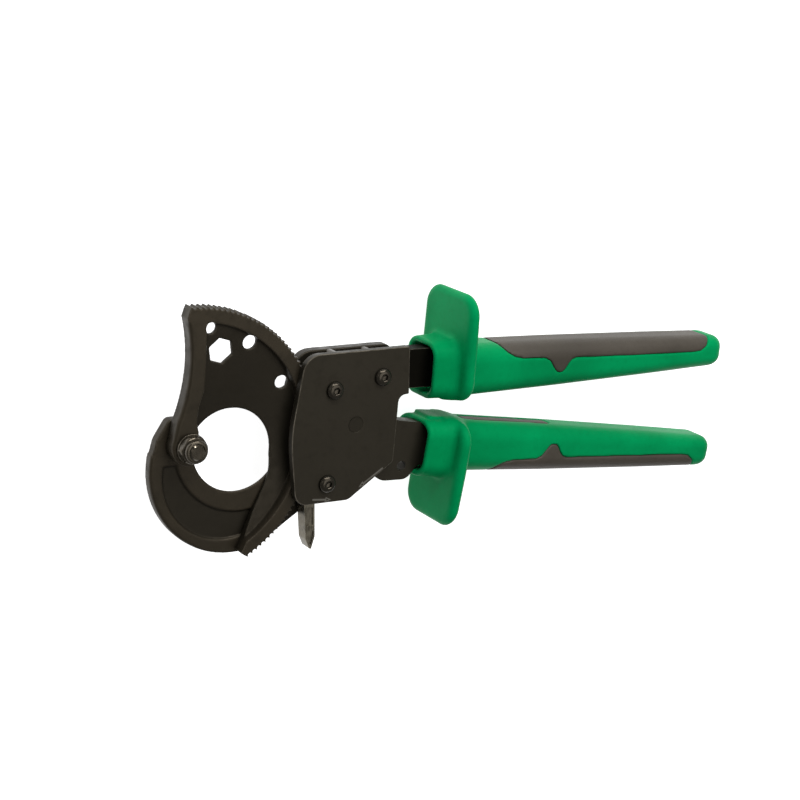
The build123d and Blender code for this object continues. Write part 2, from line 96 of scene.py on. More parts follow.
class Nodes:
    """A short way to write a node material."""

    def __init__(self, name):
        self.material = bpy.data.materials.new(name)
        self.material.use_nodes = True
        self.tree = self.material.node_tree
        self.shader = self.tree.nodes["Principled BSDF"]
        self.coord = self.tree.nodes.new("ShaderNodeTexCoord").outputs["Object"]

    def set(self, **values):
        for key, value in values.items():
            self.shader.inputs[key.replace("_", " ")].default_value = value

    def link(self, source, target):
        self.tree.links.new(source, target)

    def noise(self, scale, detail, stretch=None, turn=0.0):
        vector = self.coord
        if stretch:
            place = self.tree.nodes.new("ShaderNodeMapping")
            place.inputs["Scale"].default_value = stretch
            place.inputs["Rotation"].default_value = (0, 0, turn)
            self.link(vector, place.inputs["Vector"])
            vector = place.outputs["Vector"]
        n = self.tree.nodes.new("ShaderNodeTexNoise")
        n.inputs["Scale"].default_value = scale
        n.inputs["Detail"].default_value = detail
        n.inputs["Roughness"].default_value = NOISE_ROUGH
        self.link(vector, n.inputs["Vector"])
        return n.outputs["Fac"]

    def ramp(self, value, low, high, out_low=0.0, out_high=1.0):
        r = self.tree.nodes.new("ShaderNodeMapRange")
        r.interpolation_type = "SMOOTHSTEP"
        r.inputs["From Min"].default_value = low
        r.inputs["From Max"].default_value = high
        r.inputs["To Min"].default_value = out_low
        r.inputs["To Max"].default_value = out_high
        self.link(value, r.inputs["Value"])
        return r.outputs["Result"]

    def mix(self, factor, a, b):
        m = self.tree.nodes.new("ShaderNodeMix")
        m.data_type = "RGBA"
        self.link(factor, m.inputs["Factor"])
        for key, value in (("A", a), ("B", b)):
            socket = [s for s in m.inputs if s.name == key and s.type == "RGBA"][0]
            if isinstance(value, tuple):
                socket.default_value = (*value, 1)
            else:
                self.link(value, socket)
        return [s for s in m.outputs if s.type == "RGBA"][0]

    def maths(self, kind, a, b):
        m = self.tree.nodes.new("ShaderNodeMath")
        m.operation = kind
        for socket, value in zip(m.inputs, (a, b)):
            if isinstance(value, (int, float)):
                socket.default_value = value
            else:
                self.link(value, socket)
        return m.outputs[0]

    def attribute(self, name):
        a = self.tree.nodes.new("ShaderNodeAttribute")
        a.attribute_name = name
        return a.outputs["Fac"]

    def edge(self):
        return self.attribute("edge")

    def bump(self, *layers):
        """layers: (height value, distance in metres)."""
        normal = None
        for height, distance in layers:
            b = self.tree.nodes.new("ShaderNodeBump")
            b.inputs["Strength"].default_value = 1.0
            b.inputs["Distance"].default_value = distance
            self.link(height, b.inputs["Height"])
            if normal is not None:
                self.link(normal, b.inputs["Normal"])
            normal = b.outputs["Normal"]
        self.link(normal, self.shader.inputs["Normal"])


OIL_TINT = (1.0, 0.86, 0.66, 1.0)
NO_TINT = (1.0, 1.0, 1.0, 1.0)
GREEN_TINT = (0.1, 1.0, 0.55, 1.0)


def black_steel(name, dark, warm, rough, worn_and_lit=(0.10, 0.088, 0.07), lines=None, shine=0.2):
    """Blackened steel with a fine grain: warm where the tone layer is high, which paints light on raised faces,
    and darker where it is low, which paints shade in the hollows; edges are lighter with wear and a painted
    highlight.
    """
    n = Nodes(name)
    cloud = n.noise(55, 4)
    grain = n.noise(2600, 2)
    smear = n.noise(240, 3)
    # Tone: painted light on raised faces, painted shade in hollows and deep parts, broken up by a random cloud.
    tone = n.maths("MULTIPLY", n.ramp(cloud, 0.3, 0.7, 0.55, 1.0), n.attribute("tone"))
    colour = n.mix(tone, dark, warm)
    colour = n.mix(n.ramp(smear, 0.5, 0.8, 0.0, 0.45), colour, tuple(0.6 * c for c in dark))
    # Edges lighter: partly wear, partly a painted highlight where light catches them.
    overlay = n.maths("MULTIPLY", n.edge(), n.ramp(smear, 0.35, 0.65, 0.25, 0.8))
    colour = n.mix(overlay, colour, worn_and_lit)
    n.link(colour, n.shader.inputs["Base Color"])
    n.link(n.ramp(smear, 0.3, 0.7, rough - 0.08, rough + 0.1), n.shader.inputs["Roughness"])
    layers = [(grain, 0.000012), (smear, 0.00003)]
    if lines:
        layers.append((n.noise(900, 2, stretch=lines[0], turn=lines[1]), 0.00001))
    n.bump(*layers)
    n.set(Metallic=0.0, Specular_IOR_Level=shine, Specular_Tint=OIL_TINT)
    return n.material


def bare_steel(name):
    n = Nodes(name)
    brush = n.noise(700, 3, stretch=(6.0, 0.35, 1.0), turn=0.1)
    cloud = n.noise(260, 4)
    colour = n.mix(n.ramp(cloud, 0.35, 0.65), (0.075, 0.066, 0.046), (0.15, 0.133, 0.098))
    colour = n.mix(n.ramp(brush, 0.4, 0.6, 0.0, 0.4), colour, (0.20, 0.18, 0.14))
    # Edges much lighter: partly wear, partly a painted highlight.
    colour = n.mix(n.edge(), colour, (0.55, 0.50, 0.40))
    n.link(colour, n.shader.inputs["Base Color"])
    n.link(n.ramp(cloud, 0.3, 0.7, 0.28, 0.46), n.shader.inputs["Roughness"])
    n.bump((brush, 0.00001), (cloud, 0.00003))
    n.set(Metallic=0.85)
    return n.material


def moulded(name, deep, light, rough, grain_scale, grain_depth, spec=0.5, tint=NO_TINT):
    """Moulded plastic or rubber with a fine spark-eroded grain and slight colour drift."""
    n = Nodes(name)
    cloud = n.noise(28, 3)
    grain = n.noise(grain_scale, 2)
    peel = n.noise(420, 2)
    colour = n.mix(n.ramp(cloud, 0.3, 0.7), deep, light)
    overlay = n.maths("MULTIPLY", n.ramp(peel, 0.45, 0.75), 0.25)
    colour = n.mix(overlay, colour, tuple(0.8 * c for c in deep))
    n.link(colour, n.shader.inputs["Base Color"])
    n.link(n.ramp(grain, 0.3, 0.7, rough - 0.05, rough + 0.07), n.shader.inputs["Roughness"])
    n.bump((grain, grain_depth), (peel, 0.00002))
    n.set(Specular_IOR_Level=spec, Specular_Tint=tint)
    return n.material


BLADE_STEEL = black_steel("blade_steel", (0.0075, 0.0066, 0.0046), (0.0215, 0.0170, 0.0110), 0.42)
PLATE_STEEL = black_steel("plate_steel", (0.0090, 0.0080, 0.0055), (0.0165, 0.0145, 0.0105), 0.44,
                          lines=((1.0, 0.05, 1.0), 0.05))
# Near-black steel for the tang where it runs into the sleeve: painted shade inside the sleeve's mouth.
SHADED_TANG_STEEL = black_steel("tang_steel_painted_shade", (0.0012, 0.0012, 0.0008), (0.0022, 0.0020, 0.0014), 0.55,
                         shine=0.05)
PIVOT_STEEL = black_steel("pivot_steel", (0.0075, 0.0065, 0.0045), (0.0180, 0.0150, 0.0105), 0.22,
                          worn_and_lit=(0.16, 0.14, 0.11), shine=0.7)
FASTENER_STEEL = black_steel("fastener_steel", (0.0040, 0.0036, 0.0028), (0.008, 0.0072, 0.0056), 0.22,
                             shine=0.45)
BARE_STEEL = bare_steel("bare_steel")
GREEN = moulded("green_moulding", (0.0, 0.168, 0.050), (0.0, 0.215, 0.066), 0.42, 3800, 0.000012,
                spec=0.07, tint=GREEN_TINT)
COVER = moulded("soft_cover", (0.033, 0.027, 0.019), (0.047, 0.039, 0.029), 0.55, 2600, 0.00003,
                spec=0.3)
MARK = moulded("engraved_mark", (0.055, 0.050, 0.040), (0.085, 0.078, 0.064), 0.6, 3000, 0.00001)

NODE_MATERIAL = {"handle_tang": SHADED_TANG_STEEL}
SLOT_MATERIAL = {
    "blade_steel": BLADE_STEEL, "plate_steel": PLATE_STEEL, "pivot_steel": PIVOT_STEEL,
    "fastener_steel": FASTENER_STEEL, "spring_steel": BARE_STEEL, "bare_steel": BARE_STEEL,
    "grip_moulding": GREEN, "grip_cover": COVER,
}
NODE_SLOT = {s["node"]: s["material_slot"] for s in frame["record"]["subparts"]}
NODE_BODY = {n: body for body, nodes in frame["record"]["behaviour"]["bodies"].items() for n in nodes}

for node, obj in frame["nodes"].items():
    obj.data.materials.clear()
    obj.data.materials.append(SLOT_MATERIAL[NODE_SLOT[node]])


# ------------------------------------------------------------------ pieces
def add_piece(name, mesh, node, material, replaces=True):
    """Links a mesh, in metres in the row frame, as a piece that rides a node's body, or replaces it."""
    obj = bpy.data.objects.new(name, mesh)
    bpy.context.scene.collection.objects.link(obj)
    mesh.materials.append(material)
    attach(obj, NODE_BODY[node])
    if replaces:
        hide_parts(node)


def set_layer(mesh, name, domain, values):
    mesh.attributes.new(name, "FLOAT", domain).data.foreach_set("value", np.asarray(values, np.float32))


BEVEL_SEGMENTS = 2
BEVEL_ANGLE = math.radians(28.0)
FLAT_ANGLE = math.radians(0.6)
LEVER_PIN = (66.8, 5.1)
PIN_COVER_R = 4.2


def bevelled(node, name, width, tone):
    """The CAD node's shape with its edges broken and marked for wear and a painted highlight, except round the
    lever's pin.
    """
    bm = bmesh.new()
    bm.from_mesh(frame["nodes"][node].data)
    bmesh.ops.remove_doubles(bm, verts=bm.verts, dist=1e-6)
    bmesh.ops.dissolve_limit(bm, angle_limit=FLAT_ANGLE, verts=bm.verts, edges=bm.edges)
    mesh = bpy.data.meshes.new(name)
    bm.to_mesh(mesh)
    bm.free()
    mesh.materials.clear()
    for slot_name in ("flat", "broken"):
        mesh.materials.append(bpy.data.materials.new(slot_name))
    mesh.shade_smooth()
    obj = bpy.data.objects.new(name + "_raw", mesh)
    bpy.context.scene.collection.objects.link(obj)
    bevel = obj.modifiers.new("edge", "BEVEL")
    bevel.width = width * MM
    bevel.segments = BEVEL_SEGMENTS
    bevel.limit_method = "ANGLE"
    bevel.angle_limit = BEVEL_ANGLE
    bevel.use_clamp_overlap = True
    bevel.miter_outer = "MITER_ARC"
    bevel.material = 1
    weight = obj.modifiers.new("shading", "WEIGHTED_NORMAL")
    weight.weight = 100
    done = bpy.data.meshes.new_from_object(obj.evaluated_get(bpy.context.evaluated_depsgraph_get()))
    bpy.data.objects.remove(obj)
    done.name = name
    worn_and_lit = np.empty(len(done.polygons), np.int32)
    done.polygons.foreach_get("material_index", worn_and_lit)
    done.polygons.foreach_set("material_index", np.zeros(len(worn_and_lit), np.int32))
    done.materials.clear()
    centres = np.empty(3 * len(worn_and_lit), np.float32)
    done.polygons.foreach_get("center", centres)
    from_pin = centres.reshape(-1, 3)[:, :2] / MM - HOME_MM[:2] - LEVER_PIN
    worn_and_lit[np.hypot(*from_pin.T) < PIN_COVER_R] = 0
    set_layer(done, "edge", "FACE", worn_and_lit)
    set_layer(done, "tone", "POINT", np.full(len(done.vertices), tone))
    add_piece(name, done, node, NODE_MATERIAL.get(node, SLOT_MATERIAL[NODE_SLOT[node]]))


# ------------------------------------------------------------------ implicit surfaces
def smooth_max(a, b, k):
    """The larger of two fields, with the corner between them rounded over about k."""
    h = np.maximum(k - np.abs(a - b), 0) / k
    return np.maximum(a, b) + h * h * k * 0.25


def smooth_min(a, b, k):
    return -smooth_max(-a, -b, k)


def step(value, low, high):
    t = np.clip((value - low) / (high - low), 0, 1)
    return t * t * (3 - 2 * t)


def rounded_box(y, z, half_y, half_z, corner):
    """Distance to a rounded rectangle about the origin of the section."""
    qy = np.abs(y) - (half_y - corner)
    qz = np.abs(z) - (half_z - corner)
    return np.hypot(np.maximum(qy, 0), np.maximum(qz, 0)) + np.minimum(np.maximum(qy, qz), 0) - corner


def slice_segments(node, z):
    """The CAD node's outline at a height, as unordered segments in the drawing frame."""
    bm = bmesh.new()
    bm.from_mesh(frame["nodes"][node].data)
    everything = bm.verts[:] + bm.edges[:] + bm.faces[:]
    cut = bmesh.ops.bisect_plane(bm, geom=everything, plane_co=home(0, 0, z), plane_no=(0, 0, 1))
    edges = [g for g in cut["geom_cut"] if isinstance(g, bmesh.types.BMEdge)]
    ends = np.array([[e.verts[0].co[:2], e.verts[1].co[:2]] for e in edges]) / MM - HOME_MM[:2]
    bm.free()
    return ends


def outline_distance(segments, xs, ys):
    """Signed distance, negative inside, from a plan grid to an outline with holes."""
    px, py = np.meshgrid(xs, ys, indexing="ij")
    best = np.full(px.shape, 1e9)
    inside = np.zeros(px.shape, bool)
    for (ax, ay), (bx, by) in segments:
        dx, dy = bx - ax, by - ay
        length = dx * dx + dy * dy
        if length < 1e-12:
            continue
        t = np.clip(((px - ax) * dx + (py - ay) * dy) / length, 0, 1)
        best = np.minimum(best, (px - ax - t * dx) ** 2 + (py - ay - t * dy) ** 2)
        if dy != 0:
            crosses = (ay > py) != (by > py)
            inside ^= crosses & (px < ax + dx * (py - ay) / dy)
    return np.where(inside, -1, 1) * np.sqrt(best)


def surface(field, xs, ys, zs):
    """The zero level of a field on a grid, as vertices in millimetres and four-sided faces."""
    axes = (xs, ys, zs)
    shape = tuple(n - 1 for n in field.shape)
    total = np.zeros(shape + (3,), np.float32)
    count = np.zeros(shape, np.float32)
    negative = field < 0
    crossings = []
    for axis in range(3):
        low = [slice(None)] * 3
        high = [slice(None)] * 3
        low[axis], high[axis] = slice(0, -1), slice(1, None)
        cross = negative[tuple(low)] != negative[tuple(high)]
        index = np.argwhere(cross)
        a = field[tuple(low)][cross]
        b = field[tuple(high)][cross]
        t = a / (a - b)
        point = np.stack([axes[d][index[:, d]] for d in range(3)], 1).astype(np.float64)
        point[:, axis] += t * (axes[axis][1] - axes[axis][0])
        others = [d for d in range(3) if d != axis]
        for u in (0, 1):
            for v in (0, 1):
                cell = index.copy()
                cell[:, others[0]] -= u
                cell[:, others[1]] -= v
                ok = np.all((cell >= 0) & (cell < np.array(shape)), axis=1)
                where = tuple(cell[ok].T)
                np.add.at(total, where, point[ok])
                np.add.at(count, where, 1)
        crossings.append((axis, others, index, a < 0))
    active = count > 0
    number = np.full(shape, -1, np.int64)
    number[active] = np.arange(active.sum())
    vertices = total[active] / count[active][:, None]
    faces = []
    for axis, others, index, outward in crossings:
        u, v = others
        inner = np.all((index[:, others] > 0) & (index[:, others] < np.array(shape)[others]), axis=1)
        index, outward = index[inner], outward[inner]
        ring = []
        for du, dv in ((0, 0), (1, 0), (1, 1), (0, 1)):
            cell = index.copy()
            cell[:, u] -= du
            cell[:, v] -= dv
            ring.append(number[tuple(cell.T)])
        quad = np.stack(ring, 1)
        flip = outward if axis != 1 else ~outward
        quad[~flip] = quad[~flip][:, ::-1]
        faces.append(quad)
    return vertices, np.concatenate(faces)


WORN_AND_LIT_FROM, WORN_AND_LIT_FULL = 0.10, 0.32
PLAIN_TONE = 0.6


# The lighter edges from this mask are partly wear, partly a painted highlight.
def worn_and_lit_edges(points, mesh):
    """How far each vertex stands out from its neighbours, from 0 on the flat to 1 on an outer edge."""
    pairs = np.empty(2 * len(mesh.edges), np.int32)
    mesh.edges.foreach_get("vertices", pairs)
    a, b = pairs.reshape(-1, 2).T
    normals = np.empty(3 * len(mesh.vertices), np.float32)
    mesh.vertices.foreach_get("normal", normals)
    normals = normals.reshape(-1, 3)
    total = np.zeros(len(points))
    count = np.zeros(len(points))
    for here, there in ((a, b), (b, a)):
        away = points[here] - points[there]
        lean = np.einsum("ij,ij->i", away, normals[here]) / np.maximum(np.linalg.norm(away, axis=1), 1e-9)
        np.add.at(total, here, lean)
        np.add.at(count, here, 1)
    return step(total / np.maximum(count, 1), WORN_AND_LIT_FROM, WORN_AND_LIT_FULL)


def make_mesh(name, vertices, faces, tone=None):
    """A smooth-shaded mesh from vertices in millimetres in the drawing frame."""
    mesh = bpy.data.meshes.new(name)
    points = (vertices + HOME_MM) * MM
    mesh.from_pydata(points.tolist(), [], faces.tolist())
    mesh.validate()
    mesh.shade_smooth()
    tones = np.full(len(points), PLAIN_TONE) if tone is None else tone(vertices)
    set_layer(mesh, "tone", "POINT", tones)
    set_layer(mesh, "edge", "POINT", worn_and_lit_edges(points / MM, mesh))
    return mesh


def axis_steps(low, high, pitch):
    return np.arange(low, high + pitch, pitch)


def plan_grid(node, pitch):
    """Plan grid lines 1 mm past a CAD node's box on every side."""
    low, high = (np.array(corner) / MM - HOME_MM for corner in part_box(node))
    return [axis_steps(low[k] - 1, high[k] + 1, pitch) for k in (0, 1)]


# ------------------------------------------------------------------ movable blade
BLADE_PITCH = 0.32
BLADE_EDGE = 0.32
LEFT_EDGE = 1.3
OPENING_C = (18.2, -4.4)
OPENING_R = 16.8
HOLLOW_SLOPE = 0.125
HOLLOW_FLOOR = -5.0
WEB_T = 1.8
RIM_INNER_R = 46.4
BOSS_R = 5.7
TOOTH_GROWTH = 0.22
TOOTH_FROM_R, TOOTH_FULL_R = 48.5, 50.5
POCKET_R, POCKET_X, POCKET_Y = 47.4, 1.2, 12.0
POCKET_CLEAR_R = 23.2
WEB_OVERLAP = 0.9
HOLES = ((5.4, 43.9, 2.15), (21.9, 37.8, 2.7), (36.9, 21.8, 2.55))
HEX_HOLE = (10.6, 35.0)
HEX_CORNER_R = 5.05
HEX_TURN = 44.0
BLADE_BACK = -6.0
SPINE_Y = (-2, 3, 5.6, 9, 15, 18, 21.4, 28.8, 36.2, 60)
SPINE_X = (2.0, 3.0, 3.0, 2.0, 2.3, 3.2, 4.1, 4.1, 3.7, 3.4)


def hollow_floor(x, y):
    from_opening = np.hypot(x - OPENING_C[0], y - OPENING_C[1])
    return HOLLOW_FLOOR + HOLLOW_SLOPE * np.maximum(from_opening - OPENING_R, 0)


def blade_front(x, y):
    """Height of the movable blade's front face, and how raised it is from 0 to 1."""
    rim = step(RIM_INNER_R - np.hypot(x, y), -0.1, 0.7)
    spine = step(x - np.interp(y, SPINE_Y, SPINE_X), -0.1, 0.9)
    boss = step(np.hypot(x, y) - BOSS_R, -0.3, 0.8)
    hollow = np.minimum(np.minimum(rim, spine), boss)
    return hollow * hollow_floor(x, y), 1 - hollow


def pocket_and_web(x, y):
    """Plan distances to the pocket behind the web, and to the web with its holes."""
    pocket = np.maximum(np.maximum(np.hypot(x, y) - POCKET_R, POCKET_X - x), POCKET_Y - y)
    pocket = np.maximum(pocket, POCKET_CLEAR_R - np.hypot(x - OPENING_C[0], y - OPENING_C[1]))
    web = pocket - WEB_OVERLAP
    for hole_x, hole_y, radius in HOLES:
        web = np.maximum(web, radius - np.hypot(x - hole_x, y - hole_y))
    sides = [math.radians(HEX_TURN + 30 + 60 * k) for k in range(6)]
    flats = [(x - HEX_HOLE[0]) * math.cos(a) + (y - HEX_HOLE[1]) * math.sin(a) for a in sides]
    web = np.maximum(web, HEX_CORNER_R * math.cos(math.pi / 6) - np.max(flats, axis=0))
    return pocket, web


def movable_blade():
    """The ground blade: its outline, the ramped hollow in front and the pocket behind the web."""
    xs, ys = plan_grid("movable_blade", BLADE_PITCH)
    zs = axis_steps(BLADE_BACK - 1.13, 1.1, BLADE_PITCH)
    flat = outline_distance(slice_segments("movable_blade", BLADE_BACK + 0.1), xs, ys)
    x, y = np.meshgrid(xs, ys, indexing="ij")
    flat -= TOOTH_GROWTH * step(np.hypot(x, y), TOOTH_FROM_R, TOOTH_FULL_R)
    pocket, web = pocket_and_web(x, y)
    flat = np.minimum(flat, web)
    front = blade_front(x, y)[0]
    left_side = step(-x, -1.0, 2.5) * step(y, -6.0, 0.0) * step(47.0 - y, 0.0, 2.0)
    radius = BLADE_EDGE + LEFT_EDGE * left_side
    ceiling = hollow_floor(x, y) - WEB_T
    z = zs[None, None, :]
    body = smooth_max(flat[:, :, None], z - front[:, :, None], radius[:, :, None])
    body = smooth_max(body, BLADE_BACK - z, 0.3)
    body = smooth_max(body, -np.maximum(pocket[:, :, None], z - ceiling[:, :, None]), 0.4)
    vertices, faces = surface(body, xs, ys, zs)
    # Painted light and shade: lighter on the raised rim, spine and boss, darker in the hollow and down the walls
    # towards the back face.
    tone = lambda v: (0.1 + 0.7 * blade_front(v[:, 0], v[:, 1])[1]) * step(v[:, 2], -6.0, -0.5) + 0.1
    mesh = make_mesh("cutting_blade_ground", vertices, faces, tone)
    add_piece("cutting_blade_ground", mesh, "movable_blade", BLADE_STEEL)


# ------------------------------------------------------------------ fixed blade
FIXED_OPENING_C = (22.2, -2.5)
FIXED_OPENING_R = 17.8
LAND_C = (24.8, -0.1)
LAND_R = 27.8
RELIEF_C = (19.6, -12.0)
RELIEF_R = 27.3
RELIEF_DEPTH = 0.9
RELIEF_TOP = -8.2
FIXED_FRONT = -6.1
FIXED_BACK = -10.6
FIXED_LAND = -7.1
BEVEL_SPREAD = 1.6
BEVEL_TOP = -8.5
FIXED_PITCH, FIXED_PITCH_Z = 0.42, 0.36
FIXED_EDGE = 0.5
OUTER_EDGE = 0.9


def fixed_faces(x, y):
    """Heights of the fixed blade's front and back faces, and how raised the front is."""
    relief = step(RELIEF_R - np.hypot(x - RELIEF_C[0], y - RELIEF_C[1]), 0.0, 0.8)
    relief = np.minimum(relief, step(np.hypot(x - LAND_C[0], y - LAND_C[1]) - LAND_R, 0.0, 0.8))
    relief = np.minimum(relief, step(RELIEF_TOP - y + 0.12 * np.maximum(x + 4, 0), 0.0, 0.9))
    front = FIXED_FRONT - RELIEF_DEPTH * relief
    from_opening = np.hypot(x - FIXED_OPENING_C[0], y - FIXED_OPENING_C[1])
    bevel = FIXED_LAND - (from_opening - FIXED_OPENING_R) / BEVEL_SPREAD
    back = np.where(y < BEVEL_TOP, np.maximum(bevel, FIXED_BACK), FIXED_BACK)
    return front, back, 1 - relief


def fixed_blade():
    """The hooked blade with the crescent relief in front and the bevel of its edge behind."""
    xs, ys = plan_grid("fixed_blade", FIXED_PITCH)
    zs = axis_steps(FIXED_BACK - 1.07, FIXED_FRONT + 1.1, FIXED_PITCH_Z)
    flat = outline_distance(slice_segments("fixed_blade", FIXED_FRONT - 0.95), xs, ys)
    x, y = np.meshgrid(xs, ys, indexing="ij")
    front, back = fixed_faces(x, y)[:2]
    z = zs[None, None, :]
    outer = step(-x, -12, -4) * step(-y, 0, 8)
    radius = FIXED_EDGE + OUTER_EDGE * outer
    body = smooth_max(flat[:, :, None], z - front[:, :, None], radius[:, :, None])
    body = smooth_max(body, back[:, :, None] - z, FIXED_EDGE)
    vertices, faces = surface(body, xs, ys, zs)
    # Painted light and shade: lighter on the raised front faces, darker in the recessed relief; the tone also
    # falls off past x = 42 towards the grips.
    tone = lambda v: 0.05 + 0.8 * fixed_faces(v[:, 0], v[:, 1])[2] * step(42 - v[:, 0], 0, 6)
    mesh = make_mesh("fixed_blade_ground", vertices, faces, tone)
    add_piece("fixed_blade_ground", mesh, "fixed_blade", BLADE_STEEL)


# ------------------------------------------------------------------ grips
GRIP_PITCH = 0.62
GRIP_Z = -4.0
# place: the grip's origin, its tilt and which way its guard points; sleeve: length and mouth slant
FIXED_PLACE = (108.5, 23.2, math.radians(1.06), 1)
MOVING_PLACE = (109.9, -6.8, math.radians(-5.26), -1)
FIXED_SLEEVE = (10.6, 0.0)
MOVING_SLEEVE = (12.9, math.tan(math.radians(7.5)))
GRIP_END = 138.2
SECTION_X = (0.0, 14.0, 50.0, 100.0, GRIP_END)
SECTION_W = (20.4, 20.4, 19.6, 18.4, 17.2)
SECTION_H = (21.4, 20.6, 19.2, 16.0, 13.2)
SECTION_R = (7.0, 7.0, 6.8, 5.8, 5.0)
SLEEVE_LOW, SLEEVE_HIGH, SLEEVE_HALF_Z = -10.5, 12.9, 10.6
GUARD_TOP, GUARD_HALF_Z, GUARD_X, GUARD_T = 31.7, 17.5, 0.0, 5.0
COVER_DEPTH = 1.6
GROOVE = 0.05
SLEEVE_WALL = 2.5
SLEEVE_FLARE = 0.3
SLEEVE_RIB_R = 1.5
SLEEVE_RIB_Y = 7.0
PAD_MID_X, PAD_HALF_X, PAD_HALF_Z = 30.0, 22.0, 2.8
PAD_DEPTH = 0.9
# the soft cover's edge on the side of the grip: its start, the thumb notch, the long run and its end
COVER_EDGE = (
    (13.5, 18.5), (13.5, 15.5), (17.5, 12.4), (21.6, 9.6), (24.5, 6.9), (28.0, 5.0), (31.5, 4.3),
    (42.6, 3.7), (45.2, 2.4), (47.2, -0.4), (48.6, -2.1), (50.0, -2.7), (51.6, -2.6), (52.9, -1.6),
    (54.4, 0.6), (56.2, 2.4), (58.4, 2.9), (90.0, 1.8), (121.0, 0.9), (125.0, 1.3), (128.0, 3.2),
    (130.2, 6.5), (131.0, 10.0), (131.0, 18.5),
)


def place_grip(vertices, place):
    x0, y0, tilt, side = place
    x, y, z = vertices[:, 0], vertices[:, 1] * side, vertices[:, 2]
    return np.stack([x0 + x * math.cos(tilt) - y * math.sin(tilt),
                     y0 + x * math.sin(tilt) + y * math.cos(tilt), z + GRIP_Z], 1)


def grip_bar(x, y, z, shrink=0.0):
    """The handle's tapering bar, as a field in the grip's own frame."""
    half_y = np.interp(x, SECTION_X, SECTION_H) / 2 - shrink
    half_z = np.interp(x, SECTION_X, SECTION_W) / 2 - shrink
    corner = np.interp(x, SECTION_X, SECTION_R) - shrink
    bar = rounded_box(y, z, half_y, half_z, corner)
    return smooth_max(bar, x - (GRIP_END - shrink), 6.0)


def guard_field(x, y, z):
    """The hand guard: a rounded plate that narrows and leans a little towards its free end."""
    middle = (SLEEVE_LOW - 0.3 + GUARD_TOP) / 2
    half = (GUARD_TOP - SLEEVE_LOW + 0.3) / 2
    narrow = 0.015 * np.maximum(y - 8, 0)
    plate = rounded_box(y - middle, z, half, GUARD_HALF_Z - narrow, 8.5)
    thick = np.abs(x - GUARD_X - GUARD_T / 2) - GUARD_T / 2 + 0.012 * np.maximum(y - 10, 0)
    return smooth_max(plate, thick + 0 * y + 0 * z, 3.6)


def sleeve_fields(x, y, z, sleeve):
    """The sleeve's outside and the ribbed hollow in it that the steel enters."""
    length, slant = sleeve
    middle = (SLEEVE_LOW + SLEEVE_HIGH) / 2
    half = (SLEEVE_HIGH - SLEEVE_LOW) / 2
    flare = SLEEVE_FLARE * step(x, -length, 0.0) - SLEEVE_FLARE
    outside = rounded_box(y - middle, z, half + flare, SLEEVE_HALF_Z + flare, 6.2)
    mouth = -length + slant * z
    outside = smooth_max(outside, np.maximum(mouth - x, x - 1) + 0 * y, 1.2)
    hollow = rounded_box(y - middle, z, half - SLEEVE_WALL, SLEEVE_HALF_Z - SLEEVE_WALL, 4.2)
    hollow = smooth_max(hollow, x - 0.5, 1.0)
    for rib_y in (middle - SLEEVE_RIB_Y, middle + SLEEVE_RIB_Y):
        rib = np.hypot(y - rib_y, z - (SLEEVE_HALF_Z - 2.6)) - SLEEVE_RIB_R
        hollow = smooth_max(hollow, -np.maximum(rib, mouth + 1.6 - x), 0.6)
    return outside, hollow


def bumper_field(x, y, z):
    """The low raised square on the side of the sleeve that meets the other grip."""
    tab = rounded_box(x + 3.5, z + 1.5, 6.0, 6.0, 2.0) + 0 * y
    return smooth_max(tab, np.abs(y - SLEEVE_LOW) - 0.75, 0.8)


def build_grip(name, prefix, place, sleeve, bumper):
    xs = axis_steps(-sleeve[0] - 3.3, GRIP_END + 1.3, GRIP_PITCH)
    ys = axis_steps(SLEEVE_LOW - 1.7, GUARD_TOP + 1.3, GRIP_PITCH)
    zs = axis_steps(-GUARD_HALF_Z - 1.3, GUARD_HALF_Z + 1.3, GRIP_PITCH)
    x = xs[:, None, None]
    y = ys[None, :, None]
    z = zs[None, None, :]
    bar = smooth_max(grip_bar(x, y, z), -2.0 - x + 0 * y + 0 * z, 0.5)
    outside, hollow = sleeve_fields(x, y, z, sleeve)
    solid = smooth_min(smooth_min(bar, guard_field(x, y, z), 3.2), outside, 2.6)
    if bumper:
        solid = smooth_min(solid, bumper_field(x, y, z), 0.5)
    solid = smooth_max(solid, -hollow, 1.1)

    edge = np.array([[a, b] for a, b in zip(COVER_EDGE, COVER_EDGE[1:] + COVER_EDGE[:1])])
    region = outline_distance(edge, xs, ys)[:, :, None]
    core = grip_bar(x, y, z, COVER_DEPTH)
    cover_gap = smooth_max(region - GROOVE, -core, 0.3)
    strip = rounded_box(x - PAD_MID_X, z, PAD_HALF_X, PAD_HALF_Z, 2.0) + 0 * y
    strip = np.maximum(strip, y + 2.0)
    pad_gap = smooth_max(strip - GROOVE, -grip_bar(x, y, z, PAD_DEPTH + 0.1), 0.3)
    moulding = smooth_max(solid, -np.minimum(cover_gap, pad_gap), 0.35)
    cover = smooth_max(smooth_max(bar, region, 0.55), -core, 0.3)
    pad = smooth_max(smooth_max(bar + 0.1, strip, 0.5), -grip_bar(x, y, z, PAD_DEPTH), 0.2)

    parts = ((moulding, "moulding", prefix, GREEN), (cover, "cover", prefix + "_cover", COVER),
             (pad, "pad", prefix + "_pad", COVER))
    for field, kind, node, material in parts:
        vertices, faces = surface(field, xs, ys, zs)
        if place[3] < 0:
            faces = faces[:, ::-1]
        mesh = make_mesh(f"{name}_{kind}", place_grip(vertices, place), faces)
        add_piece(f"{name}_{kind}", mesh, node, material)


movable_blade()
fixed_blade()
build_grip("upper_grip", "fixed_grip", FIXED_PLACE, FIXED_SLEEVE, False)
build_grip("lower_grip", "moving_grip", MOVING_PLACE, MOVING_SLEEVE, True)
